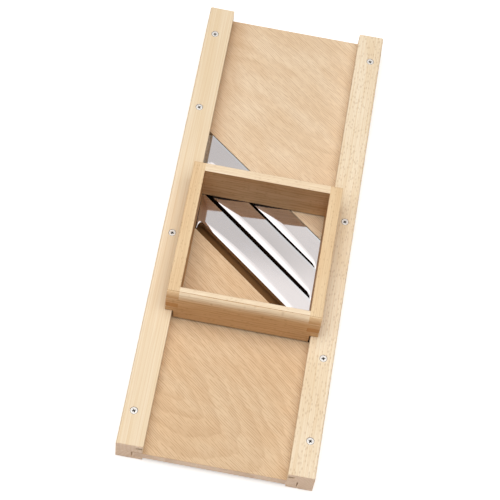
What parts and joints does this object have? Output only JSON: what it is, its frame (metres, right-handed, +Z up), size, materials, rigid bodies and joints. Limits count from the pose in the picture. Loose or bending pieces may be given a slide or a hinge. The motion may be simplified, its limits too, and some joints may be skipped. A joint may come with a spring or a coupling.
{
  "type": "cabbage cutter",
  "caption": "Wooden cabbage cutter: side rails hold beech boards and slanting steel blades, and an open box that holds the cabbage slides along grooves in the rails.",
  "frame": {"origin": "middle of the cutter on the surface that it lies on", "axes": "+Y along the rails to the far end, which the raised cutting edges face; +X to the right; +Z up out of the boards"},
  "size_m": [0.19, 0.52, 0.0623],
  "materials": {
    "rail_beech": "planed raw beech",
    "strip_beech": "planed raw beech, straight grain along the rail",
    "board_beech": "sanded raw beech, grain along the blades",
    "carriage_beech": "planed raw beech, finger-jointed corners",
    "blade_steel": "bright polished stainless steel, pressed up towards its cutting edge",
    "screw_steel": "bright zinc-plated wood screw with a cross recess"
  },
  "bodies": {
    "frame": {"left_side_rail": "rail_beech", "right_side_rail": "rail_beech", "left_guide_strip": "strip_beech", "right_guide_strip": "strip_beech", "far_board": "board_beech", "near_board": "board_beech", "near_blade": "blade_steel", "middle_blade": "blade_steel", "far_blade": "blade_steel", "left_far_end_screw": "screw_steel", "left_far_corner_screw": "screw_steel", "left_near_corner_screw": "screw_steel", "left_near_end_screw": "screw_steel", "right_far_end_screw": "screw_steel", "right_far_corner_screw": "screw_steel", "right_near_corner_screw": "screw_steel", "right_near_end_screw": "screw_steel"},
    "carriage": {"carriage_left_wall": "carriage_beech", "carriage_right_wall": "carriage_beech", "carriage_rear_wall": "carriage_beech", "carriage_front_wall": "carriage_beech"}
  },
  "joints": [
    {"name": "carriage_slide", "type": "slide", "parent": "frame", "child": "carriage", "axis": [0, 1, 0], "range_m": [-0.147, 0.218]}
  ]
}
